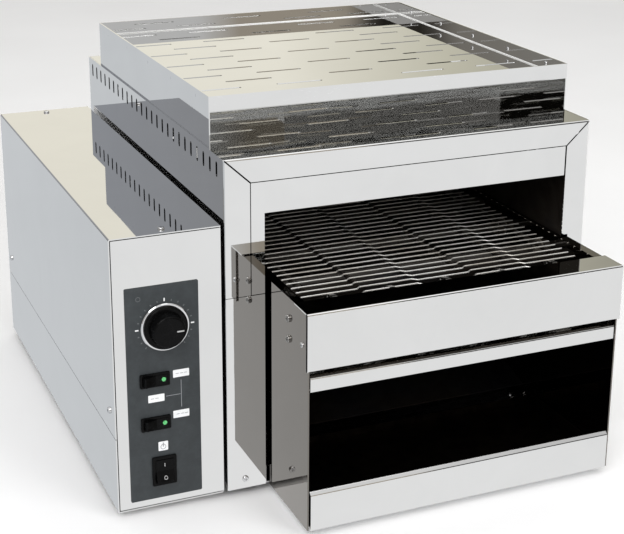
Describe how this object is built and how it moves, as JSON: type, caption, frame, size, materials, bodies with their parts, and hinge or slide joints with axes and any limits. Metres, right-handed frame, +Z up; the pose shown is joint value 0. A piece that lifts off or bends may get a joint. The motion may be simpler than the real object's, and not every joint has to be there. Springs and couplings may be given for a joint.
{
  "type": "conveyor pizza oven",
  "caption": "Countertop conveyor oven with a wire belt through a heated tunnel, a front exit tray, a side control box and a slotted rack on top.",
  "frame": {"origin": "centre of the bounding box in plan, on the surface that the feet stand on", "axes": "+Z up, -Y out of the front where the food goes in and comes out, +X to the right seen from the front"},
  "size_m": [0.5338, 0.633, 0.415],
  "materials": {
    "polished_steel": "polished",
    "frame_steel": "polished, dark",
    "plain_steel": "satin",
    "inner_steel": "heat tinted",
    "belt_wire": "drawn",
    "shaft_steel": "turned",
    "chain_steel": "oiled",
    "screw_steel": "polished",
    "quartz": "translucent",
    "white_ceramic": "matt",
    "black_rubber": "matt",
    "motor_paint": "satin",
    "overlay_grey": "matt",
    "black_plastic": "satin",
    "green_lens": "translucent",
    "bright_ring": "polished",
    "board_green": "satin",
    "terminal_white": "matt",
    "pot_metal": "satin"
  },
  "bodies": {
    "root": {"floor_pan": "plain_steel", "base_side_left": "polished_steel", "base_side_right": "polished_steel", "rear_panel": "plain_steel", "upper_side_left": "polished_steel", "upper_side_right": "polished_steel", "top_panel": "polished_steel", "mouth_panel": "polished_steel", "feet": "black_rubber", "foot_screws": "screw_steel", "casing_screws": "screw_steel", "tunnel_walls": "inner_steel", "upper_reflector": "inner_steel", "lower_reflector": "inner_steel", "heat_shield": "inner_steel", "upper_heating_tubes": "quartz", "lower_heating_tubes": "quartz", "tube_end_caps": "white_ceramic", "exit_chute": "inner_steel", "rear_deflector": "inner_steel", "conveyor_frame_left": "frame_steel", "conveyor_frame_right": "frame_steel", "front_cover": "polished_steel", "chute_strip": "polished_steel", "conveyor_belt": "belt_wire", "belt_support": "inner_steel", "shaft_bearings": "shaft_steel", "bearing_bolts": "screw_steel", "drive_chain": "chain_steel", "gear_motor": "motor_paint", "box_base": "polished_steel", "box_cover": "polished_steel", "box_inner_wall": "plain_steel", "box_front": "polished_steel", "box_rear": "plain_steel", "cable_gland": "black_plastic", "fan_frame": "black_plastic", "control_board": "board_green", "terminal_block": "terminal_white", "control_overlay": "overlay_grey", "switch_housings": "black_plastic", "potentiometer": "pot_metal", "rack_walls": "polished_steel", "rack_front_rail": "polished_steel", "rack_shelf": "polished_steel", "rack_rivets": "screw_steel"},
    "tray": {"collector_tray": "polished_steel"},
    "drive": {"drive_shaft": "shaft_steel", "drive_sprockets": "shaft_steel"},
    "idler": {"idler_shaft": "shaft_steel", "idler_sprockets": "shaft_steel"},
    "motor_output": {"motor_sprocket": "shaft_steel"},
    "fan": {"fan_rotor": "black_plastic"},
    "knob": {"speed_knob": "black_plastic", "knob_ring": "bright_ring"},
    "top_heat_switch": {"top_heat_rocker": "black_plastic", "top_heat_lamp": "green_lens"},
    "bottom_heat_switch": {"bottom_heat_rocker": "black_plastic", "bottom_heat_lamp": "green_lens"},
    "main_switch": {"main_rocker": "black_plastic"}
  },
  "joints": [
    {"name": "tray_slide", "type": "slide", "parent": "root", "child": "tray", "axis": [0, -1, 0], "range_m": [0, 0.16]},
    {"name": "drive_shaft_spin", "type": "hinge", "parent": "root", "child": "drive", "pos_m": [0.065, 0.1907, 0.205], "axis": [-1, 0, 0], "continuous": true, "deforming": ["conveyor_belt", "drive_chain"]},
    {"name": "idler_shaft_spin", "type": "hinge", "parent": "root", "child": "idler", "pos_m": [0.065, -0.2665, 0.205], "axis": [-1, 0, 0], "continuous": true},
    {"name": "motor_output_spin", "type": "hinge", "parent": "root", "child": "motor_output", "pos_m": [-0.131, 0.1907, 0.10913], "axis": [-1, 0, 0], "continuous": true},
    {"name": "fan_spin", "type": "hinge", "parent": "root", "child": "fan", "pos_m": [-0.209, 0.2843, 0.243], "axis": [0, 1, 0], "continuous": true},
    {"name": "speed_knob_turn", "type": "hinge", "parent": "root", "child": "knob", "pos_m": [-0.2118, -0.2215, 0.202], "axis": [0, 1, 0], "range_deg": [-225, 45]},
    {"name": "top_heat_switch_rock", "type": "hinge", "parent": "root", "child": "top_heat_switch", "pos_m": [-0.2238, -0.212, 0.1475], "axis": [0, 0, 1], "range_deg": [-24, 0]},
    {"name": "bottom_heat_switch_rock", "type": "hinge", "parent": "root", "child": "bottom_heat_switch", "pos_m": [-0.2238, -0.212, 0.1005], "axis": [0, 0, 1], "range_deg": [-24, 0]},
    {"name": "main_switch_rock", "type": "hinge", "parent": "root", "child": "main_switch", "pos_m": [-0.2164, -0.212, 0.0473], "axis": [1, 0, 0], "range_deg": [0, 24]}
  ],
  "couplings": [
    {"joint": "idler_shaft_spin", "follows": "drive_shaft_spin", "ratio": 1},
    {"joint": "motor_output_spin", "follows": "drive_shaft_spin", "ratio": 1.3333}
  ]
}
